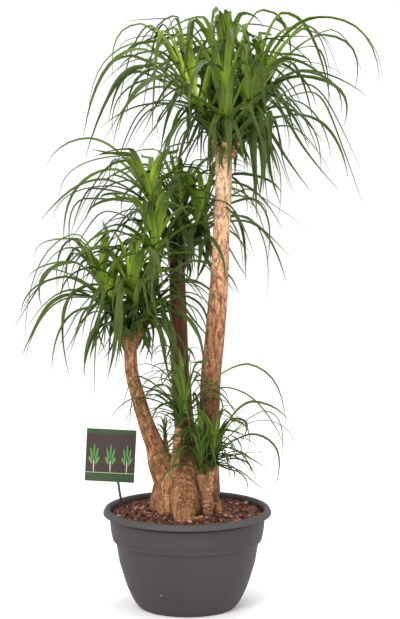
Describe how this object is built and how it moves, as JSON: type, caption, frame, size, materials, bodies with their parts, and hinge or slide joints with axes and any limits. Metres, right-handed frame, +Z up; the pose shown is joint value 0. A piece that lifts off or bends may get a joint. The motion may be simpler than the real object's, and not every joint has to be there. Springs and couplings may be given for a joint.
{
  "type": "potted ponytail palm",
  "caption": "Branched ponytail palm with a swollen foot, three trunks and arching strap-leaf crowns, in a round grey planting bowl with soil and a blank-text plant label.",
  "frame": {"origin": "centre of the pot's flat base, on the surface it stands on", "axes": "+Z up, +X to the right seen from the front, the front of the plant faces -Y"},
  "size_m": [0.7795, 0.5545, 1.2337],
  "materials": {
    "pot_plastic": "matte",
    "soil": "rough",
    "bark": "rough",
    "leaf": "satin",
    "card": "satin",
    "stake": "matte"
  },
  "bodies": {
    "root": {"pot": "pot_plastic", "soil": "soil", "trunk": "bark", "label_card": "card", "label_stake": "stake", "crown_top_front": "leaf", "crown_top_right": "leaf", "crown_top_far_right": "leaf", "crown_top_left": "leaf", "crown_top_back": "leaf", "crown_middle_right": "leaf", "crown_middle_left": "leaf", "crown_middle_back": "leaf", "crown_left_high": "leaf", "crown_left_front": "leaf", "crown_left_outer": "leaf", "crown_left_inner": "leaf", "crown_centre_shoot": "leaf", "crown_right_shoot_front": "leaf", "crown_right_shoot_side": "leaf", "crown_small_sprout": "leaf"}
  },
  "joints": []
}
